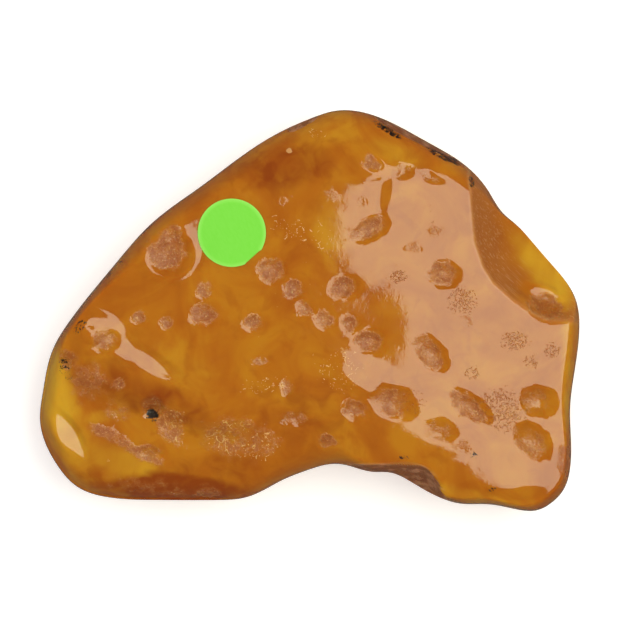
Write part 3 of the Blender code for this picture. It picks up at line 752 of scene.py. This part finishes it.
# %% [markdown]
# Crust is made of grains a few tenths of a millimetre wide. The coarser ones are real relief: a
# Displace modifier moves the points by a cloud texture, held to the pits by a vertex group, and is then
# applied. A second, much weaker one over the whole surface is the hand-polished waviness that makes the
# edges of reflections wander.

# %% Raise the grains of the crust
GRAIN_SIZE = 0.7 * MM
GRAIN_HEIGHT = 0.13 * MM
WAVE_SIZE = 3.2 * MM
WAVE_HEIGHT = 0.010 * MM


def displace(name, texture_size, height, depth, group=""):
    texture = bpy.data.textures.new(name, "CLOUDS")
    texture.noise_scale = texture_size
    texture.noise_depth = depth
    modifier = pebble.modifiers.new(name, "DISPLACE")
    modifier.texture = texture
    modifier.texture_coords = "LOCAL"
    modifier.strength = height
    modifier.mid_level = 0.5
    modifier.vertex_group = group
    bpy.ops.object.modifier_apply(modifier=modifier.name)


rough_ground = pebble.vertex_groups.new(name="rough ground")
for index in np.flatnonzero(crust > 0.05):
    rough_ground.add([int(index)], float(min(crust[index], 1.0)), "REPLACE")
displace("crust grains", GRAIN_SIZE, GRAIN_HEIGHT, 2, "rough ground")
displace("polished waves", WAVE_SIZE, WAVE_HEIGHT, 1)
bpy.ops.object.shade_smooth()
print("relief:", round(GRAIN_HEIGHT / MM, 2), "mm in the crust")

# %% [markdown]
# Each finish is one node material around a Principled shader. A small class keeps the node calls short:
# every method adds one node and gives back its output, so that a finish reads like a recipe. All
# patterns read Object coordinates, which are metres here, so a size in the recipe is a real size.

# %% A short way to write a finish
class Finish:
    def __init__(self, name):
        self.material = bpy.data.materials.new(name)
        self.material.use_nodes = True
        self.tree = self.material.node_tree
        self.shader = self.tree.nodes["Principled BSDF"]
        self.place = self.tree.nodes.new("ShaderNodeTexCoord").outputs["Object"]

    def put(self, socket, value):
        if isinstance(value, bpy.types.NodeSocket):
            self.tree.links.new(value, socket)
        elif isinstance(value, tuple) and len(value) == 3 and socket.type == "RGBA":
            socket.default_value = (*value, 1.0)
        else:
            socket.default_value = value

    def node(self, kind, output, inputs, **settings):
        """Adds a node, fills its inputs and gives back one of its outputs."""
        made = self.tree.nodes.new("ShaderNode" + kind)
        for name, value in settings.items():
            setattr(made, name, value)
        for key, value in inputs.items():
            self.put(made.inputs[key], value)
        return made.outputs[output]

    def noise(self, size, detail=3.0, roughness=0.5, distortion=0.0, place=None):
        inputs = {"Vector": place or self.place, "Scale": 1 / size, "Detail": detail}
        inputs.update({"Roughness": roughness, "Distortion": distortion})
        return self.node("TexNoise", "Fac", inputs)

    def borders(self, size, place):
        """The distance to the nearest border between Voronoi cells."""
        inputs = {"Vector": place, "Scale": 1 / size}
        return self.node("TexVoronoi", "Distance", inputs, feature="DISTANCE_TO_EDGE")

    def stretched(self, turn, stretch):
        """Coordinates in which a pattern comes out longer along one direction, for streaks."""
        inputs = {"Vector": self.place, "Rotation": (0.0, 0.0, math.radians(turn))}
        inputs["Scale"] = (stretch, 1.0, 1.0)
        return self.node("Mapping", "Vector", inputs, vector_type="TEXTURE")

    def shaken(self, size, amount):
        """Coordinates pushed about by noise, so that straight lines and round cells wander."""
        noise = self.node("TexNoise", "Color", {"Vector": self.place, "Scale": 1 / size})
        centred = self.node("VectorMath", "Vector", {0: noise, 1: (0.5, 0.5, 0.5)}, operation="SUBTRACT")
        inputs = {0: centred, 1: (amount, amount, amount), 2: self.place}
        return self.node("VectorMath", "Vector", inputs, operation="MULTIPLY_ADD")

    def spot(self, x, y, z, radius, place):
        """1 within a small ball round a point, for a single mark."""
        away = self.node("VectorMath", "Value", {0: place, 1: (x, y, z)}, operation="DISTANCE")
        return self.span(away, 0.8 * radius, 1.2 * radius, 1.0, 0.0)

    def mask(self, name):
        return self.node("Attribute", "Fac", {}, attribute_name=name)

    def span(self, value, low, high, start=0.0, end=1.0):
        """Turns low..high into start..end, softly and with nothing beyond."""
        inputs = {"Value": value, "From Min": low, "From Max": high, "To Min": start, "To Max": end}
        return self.node("MapRange", "Result", inputs, interpolation_type="SMOOTHSTEP")

    def sum(self, operation, first, second):
        """One step of arithmetic, such as ADD, MULTIPLY or MAXIMUM."""
        return self.node("Math", "Value", {0: first, 1: second}, operation=operation)

    def blend(self, share, first, second):
        return self.node("Mix", 2, {"Factor": share, 6: first, 7: second}, data_type="RGBA")

    def bump(self, height, distance, normal=None):
        inputs = {"Height": height, "Distance": distance}
        if normal:
            inputs["Normal"] = normal
        return self.node("Bump", "Normal", inputs)

    def dress(self, piece, colour, roughness, normal):
        """Joins the results to the shader and gives the piece this material alone."""
        for key, value in (("Base Color", colour), ("Roughness", roughness), ("Normal", normal)):
            self.put(self.shader.inputs[key], value)
        piece.data.materials.clear()
        piece.data.materials.append(self.material)


amber = Finish("butterscotch amber")
print("finish:", amber.material.name)

# %% [markdown]
# The body colour comes first. Butterscotch amber is clouded all through: a warm orange, with paler and
# deeper swirls a few millimetres across. Listed ovals add honey yellow, partly clearer amber and partly
# a painted glow of light through the thin rims, and red-brown, partly the stone's own clouds and partly
# painted shade below the step and along the lower edge.

# %% Cloud the body colour
ORANGE = (0.405, 0.124, 0.0075)
PALE_ORANGE = (0.45, 0.160, 0.0085)
DEEP_ORANGE = (0.345, 0.088, 0.006)
# The honey colour is partly clearer amber and partly a painted glow of light through the thin rims.
HONEY_AND_GLOW = (0.56, 0.30, 0.018)
# The ember colour is partly red-brown cloud and partly painted shade in the groove and along the lower
# edge.
EMBER_AND_SHADE = (0.25, 0.050, 0.005)

swirl = amber.noise(9 * MM, 4, 0.55, 1.2)
fine_swirl = amber.noise(2.5 * MM, 3, 0.5, 0.8)
colour = amber.blend(amber.span(swirl, 0.42, 0.66), ORANGE, PALE_ORANGE)
colour = amber.blend(amber.span(swirl, 0.28, 0.48, 0.7, 0.0), colour, DEEP_ORANGE)
colour = amber.blend(amber.span(fine_swirl, 0.50, 0.72, 0.0, 0.35), colour, DEEP_ORANGE)
honey_and_glow_edge = amber.sum("ADD", amber.mask("honey_and_glow"), amber.span(swirl, 0.3, 0.7, -0.2, 0.2))
ember_and_shade_edge = amber.sum("ADD", amber.mask("ember_and_shade"), amber.span(fine_swirl, 0.3, 0.7, -0.2, 0.2))
# Painted glow: honey yellow where light would shine through the thin rims, mixed with clearer amber.
colour = amber.blend(amber.span(honey_and_glow_edge, 0.0, 1.1), colour, HONEY_AND_GLOW)
# Painted shade: red-brown darkening in the groove below the step and along the lower edge, mixed with
# real clouds.
colour = amber.blend(amber.span(ember_and_shade_edge, 0.0, 1.08), colour, EMBER_AND_SHADE)
print("body colour: orange, with honey and ember clouds")

# %% [markdown]
# Crust fills the pits. It is hardly darker than the amber, but pinkish, dull and full of grains, each of
# which catches the light its own way. Three noises make it: a coarse one frays its edge and mottles
# it, a fine one gives the grains, and a stretched one the fibres on the broken edges.

# %% Crust
CRUST = (0.42, 0.150, 0.032)
CRUST_CORE = (0.31, 0.082, 0.013)
CRUST_DARK = (0.25, 0.062, 0.011)
CRUST_LIGHT = (0.60, 0.33, 0.12)

coarse_grain = amber.noise(1.1 * MM, 2, 0.5)
grain = amber.noise(0.24 * MM, 2, 0.6, 0.6)
crust_edge = amber.sum("ADD", amber.mask("crust"), amber.span(coarse_grain, 0.3, 0.7, -0.25, 0.22))
patchy = amber.span(amber.noise(1.7 * MM, 2, 0.5), 0.32, 0.60, 0.55, 1.0)
crust_share = amber.sum("MULTIPLY", amber.span(crust_edge, 0.12, 0.88), patchy)
crust_depth = amber.sum("ADD", amber.mask("crust"), amber.span(coarse_grain, 0.35, 0.65, -0.35, 0.15))
crust_colour = amber.blend(amber.span(crust_depth, 0.45, 1.0), CRUST, CRUST_CORE)
crust_colour = amber.blend(amber.span(grain, 0.34, 0.48, 0.55, 0.0), crust_colour, CRUST_DARK)
crust_colour = amber.blend(amber.span(grain, 0.58, 0.70, 0.0, 0.85), crust_colour, CRUST_LIGHT)
colour = amber.blend(amber.sum("MULTIPLY", crust_share, 0.85), colour, crust_colour)
print("crust added")

# %% Broken edges, the brushed chip, and the painted crease highlight
BREAK = (0.215, 0.064, 0.016)
BREAK_LIGHT = (0.40, 0.165, 0.070)
BRUSHED = (0.34, 0.105, 0.016)
BRUSHED_LIGHT = (0.48, 0.22, 0.07)
# The pale colour of the painted highlight along the creases.
CREASE_HIGHLIGHT = (0.58, 0.31, 0.12)

fibres = amber.noise(0.22 * MM, 3, 0.6, 0.4, amber.stretched(-38, 22))
break_edge = amber.sum("ADD", amber.mask("broken"), amber.span(coarse_grain, 0.3, 0.7, -0.2, 0.2))
break_share = amber.span(break_edge, 0.3, 0.9)
break_colour = amber.blend(amber.span(coarse_grain, 0.44, 0.66), BREAK, BREAK_LIGHT)
colour = amber.blend(amber.sum("MULTIPLY", break_share, 0.9), colour, break_colour)
brush_share = amber.mask("chip")
brush_colour = amber.blend(amber.span(fibres, 0.50, 0.72), BRUSHED, BRUSHED_LIGHT)
colour = amber.blend(amber.sum("MULTIPLY", brush_share, 0.75), colour, brush_colour)
# Painted highlight: a thin pale line along the creases, mixed in at a third of its strength.
colour = amber.blend(amber.sum("MULTIPLY", amber.mask("crease highlight"), 0.35), colour, CREASE_HIGHLIGHT)
print("breaks added")

# %% Black specks, and the black bottom of the deepest pit
SOOT = (0.012, 0.006, 0.003)
BLACK_PIT = (-18.4 * MM, -12.2 * MM, 14.9 * MM)
BLACK_PIT_SIZE = 0.7 * MM
FLECK_X, FLECK_Y = -2.4, 18.7
WHITE_FLECK = (FLECK_X * MM, FLECK_Y * MM, float(top_height(np.array(FLECK_X), np.array(FLECK_Y))) * MM)
WHITE_FLECK_SIZE = 0.32 * MM

cracking = amber.borders(0.75 * MM, amber.shaken(0.35 * MM, 0.7 * MM))
speck = amber.noise(0.45 * MM, 3, 0.7, 1.0)
soot_limit = amber.span(amber.mask("soot"), 0.0, 1.0, 0.85, 0.44)
soot_share = amber.span(amber.sum("SUBTRACT", speck, soot_limit), 0.0, 0.05)
crack_width = amber.span(amber.mask("soot"), 0.3, 1.0, 0.0, 0.20)
crack_width = amber.sum("MULTIPLY", crack_width, amber.span(speck, 0.48, 0.60))
crack_share = amber.span(amber.sum("SUBTRACT", crack_width, cracking), 0.0, 0.04)
soot_share = amber.sum("MAXIMUM", soot_share, crack_share)
ragged = amber.shaken(0.5 * MM, 1.1 * MM)
soot_share = amber.sum("MAXIMUM", soot_share, amber.spot(*BLACK_PIT, BLACK_PIT_SIZE, ragged))
colour = amber.blend(soot_share, colour, SOOT)
fleck = amber.spot(*WHITE_FLECK, WHITE_FLECK_SIZE, amber.shaken(0.4 * MM, 0.4 * MM))
colour = amber.blend(amber.sum("MULTIPLY", fleck, 0.8), colour, CRUST_LIGHT)
print("soot added")

# %% [markdown]
# The polish is high, so the body is nearly a mirror. What breaks it is small: crust, patches of worn
# specks, and golden threads of old scratches. The threads are the borders between Voronoi cells, shaken
# by noise and then broken into short pieces by a second noise.

# %% Golden threads and worn specks
GOLD = (0.74, 0.46, 0.16)
THREAD_CELLS = 1.3 * MM
THREAD_WIDTH = 0.045

threads = amber.borders(THREAD_CELLS, amber.shaken(0.9 * MM, 1.2 * MM))
thread_limit = amber.span(amber.mask("sparkle"), 0.0, 1.0, 0.78, 0.50)
thread_piece = amber.sum("SUBTRACT", amber.noise(0.9 * MM, 2, 0.5), thread_limit)
thread_share = amber.sum(
    "MULTIPLY", amber.span(threads, 0.01, THREAD_WIDTH, 1.0, 0.0), amber.span(thread_piece, 0.0, 0.10)
)
sparks = amber.sum("SUBTRACT", amber.noise(0.22 * MM, 1, 0.5), amber.sum("ADD", thread_limit, 0.16))
thread_share = amber.sum("MAXIMUM", thread_share, amber.span(sparks, 0.0, 0.06))
colour = amber.blend(amber.sum("MULTIPLY", thread_share, 0.7), colour, GOLD)

speck_limit = amber.span(amber.mask("speckle"), 0.0, 1.0, 0.80, 0.50)
speck_grain = amber.noise(0.32 * MM, 3, 0.7)
speck_share = amber.span(amber.sum("SUBTRACT", speck_grain, speck_limit), 0.0, 0.05)
colour = amber.blend(amber.sum("MULTIPLY", speck_share, 0.35), colour, CRUST_DARK)
print("threads and specks added")

# %% Gloss and fine relief
POLISHED, DULL = 0.060, 0.38
GRAIN_BUMP = 0.10 * MM
FIBRE_BUMP = 0.05 * MM
SPECK_BUMP = 0.03 * MM
RIPPLE_BUMP = 0.010 * MM

dull_specks = amber.sum("MULTIPLY", speck_share, 0.5)
dull_brushing = amber.sum("MULTIPLY", brush_share, 0.6)
rough = crust_share
for dull_share in (break_share, dull_specks, soot_share, thread_share, dull_brushing):
    rough = amber.sum("MAXIMUM", rough, dull_share)
roughness = amber.span(rough, 0.0, 1.0, POLISHED, DULL)
grain_height = amber.sum("MULTIPLY", grain, amber.sum("MAXIMUM", crust_share, break_share))
tilted = amber.bump(grain_height, GRAIN_BUMP)
tilted = amber.bump(amber.sum("MULTIPLY", fibres, brush_share), FIBRE_BUMP, tilted)
tilted = amber.bump(amber.sum("MULTIPLY", speck_share, -1.0), SPECK_BUMP, tilted)
tilted = amber.bump(amber.noise(1.5 * MM, 4, 0.6), RIPPLE_BUMP, tilted)
amber.dress(pebble, colour, roughness, tilted)
print("roughness from", POLISHED, "to", DULL)

# %% [markdown]
# Light sinks a little way into cloudy amber before it comes out again, furthest in the red. That is
# subsurface scattering, with a reach of about two millimetres. No light passes right through, so the
# shader has no transmission.

# %% Let the light sink in
SCATTER_WEIGHT = 0.4
SCATTER_REACH = 1.0 * MM
SCATTER_COLOURS = (2.0, 0.8, 0.25)
AMBER_IOR = 1.54

amber.shader.inputs["IOR"].default_value = AMBER_IOR
amber.shader.inputs["Subsurface Weight"].default_value = SCATTER_WEIGHT
amber.shader.inputs["Subsurface Scale"].default_value = SCATTER_REACH
amber.shader.inputs["Subsurface Radius"].default_value = SCATTER_COLOURS
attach(pebble, "root")
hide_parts("amber_pebble")
print("pebble dressed:", sum(len(face.vertices) - 2 for face in pebble.data.polygons), "triangles")

# %% [markdown]
# The dot is a punched piece of thin green paper, with one edge trimmed straight. It starts as a flat
# circle. Insets give it rings of faces, so that it can bend; a bisect trims the edge; Shrinkwrap lays
# it on the amber from above; Solidify gives it the thickness of paper.

# %% Punch the dot
DOT_CENTRE = (-9.1 * MM, 9.1 * MM)
DOT_RADIUS = 4.0 * MM
DOT_CORNERS = 96
DOT_RINGS = 7
DOT_TRIM_DIRECTION = math.radians(-48)
DOT_TRIM = 0.26 * MM
DOT_START_HEIGHT = 25 * MM

bpy.ops.object.select_all(action="DESELECT")
bpy.ops.mesh.primitive_circle_add(
    vertices=DOT_CORNERS, radius=DOT_RADIUS, fill_type="NGON", location=(*DOT_CENTRE, DOT_START_HEIGHT)
)
dot = bpy.context.object
dot.name = "green_paper_dot"
bpy.ops.object.transform_apply(location=True, rotation=True, scale=True)
bpy.ops.object.mode_set(mode="EDIT")
bpy.ops.mesh.select_all(action="SELECT")
for ring in range(DOT_RINGS):
    bpy.ops.mesh.inset(thickness=DOT_RADIUS / (DOT_RINGS + 1), use_boundary=True)
bpy.ops.mesh.poke()
bpy.ops.mesh.select_all(action="SELECT")
towards = (math.cos(DOT_TRIM_DIRECTION), math.sin(DOT_TRIM_DIRECTION), 0.0)
chord = [
    centre + (DOT_RADIUS - DOT_TRIM) * way
    for centre, way in zip((*DOT_CENTRE, DOT_START_HEIGHT), towards)
]
bpy.ops.mesh.bisect(plane_co=chord, plane_no=towards, clear_outer=True)
bpy.ops.object.mode_set(mode="OBJECT")
print("dot:", len(dot.data.polygons), "faces,", [round(side / MM, 2) for side in dot.dimensions], "mm")

# %% Lay it on the amber
PAPER_GAP = 0.02 * MM
PAPER_THICKNESS = 0.12 * MM
PAPER_BEVEL = 0.02 * MM

press = dot.modifiers.new("lay down", "SHRINKWRAP")
press.target = pebble
press.wrap_method = "PROJECT"
press.use_project_z = True
press.use_negative_direction = True
press.use_positive_direction = False
press.offset = PAPER_GAP
bpy.ops.object.modifier_apply(modifier=press.name)
wall = dot.modifiers.new("paper", "SOLIDIFY")
wall.thickness = PAPER_THICKNESS
wall.offset = 1.0
bpy.ops.object.modifier_apply(modifier=wall.name)
soften = dot.modifiers.new("cut edge", "BEVEL")
soften.width = PAPER_BEVEL
soften.segments = 2
soften.limit_method = "ANGLE"
bpy.ops.object.modifier_apply(modifier=soften.name)
bpy.ops.object.shade_smooth_by_angle(angle=math.radians(40))
dot_points = read_points(dot.data) / MM
print("dot lies from", round(dot_points[:, 2].min(), 2), "to", round(dot_points[:, 2].max(), 2), "mm")

# %% [markdown]
# The paper is printed in a flat, bright green. Close up it has fine fibres, and its cut edge is a little
# paler, because the colour lies on the surface alone.

# %% Colour the paper
PAPER_GREEN = (0.172, 0.640, 0.045)
PAPER_PALE = (0.27, 0.74, 0.10)
PAPER_GLOSS = 0.3
FIBRE_SIZE = 0.25 * MM
PAPER_BUMP = 0.006 * MM

from_centre = np.hypot(dot_points[:, 0] - DOT_CENTRE[0] / MM, dot_points[:, 1] - DOT_CENTRE[1] / MM)
rim_mask = dot.data.attributes.new("rim", "FLOAT", "POINT")
rim_share = np.clip((from_centre / (DOT_RADIUS / MM) - 0.94) / 0.05, 0, 1)
rim_mask.data.foreach_set("value", rim_share.astype(np.float32))

paper_dot = Finish("green paper")
fibres = paper_dot.noise(FIBRE_SIZE, 3, 0.6, 0.4, paper_dot.stretched(120, 3))
green = paper_dot.blend(paper_dot.span(fibres, 0.3, 0.7, 0.0, 0.12), PAPER_GREEN, PAPER_PALE)
green = paper_dot.blend(paper_dot.mask("rim"), green, PAPER_PALE)
paper_roughness = paper_dot.span(fibres, 0.0, 1.0, 0.75, 0.65)
paper_dot.dress(dot, green, paper_roughness, paper_dot.bump(fibres, PAPER_BUMP))
paper_dot.shader.inputs["Specular IOR Level"].default_value = PAPER_GLOSS
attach(dot, "root")
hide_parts("paper_dot")
print("dot dressed:", len(dot.data.polygons), "faces")
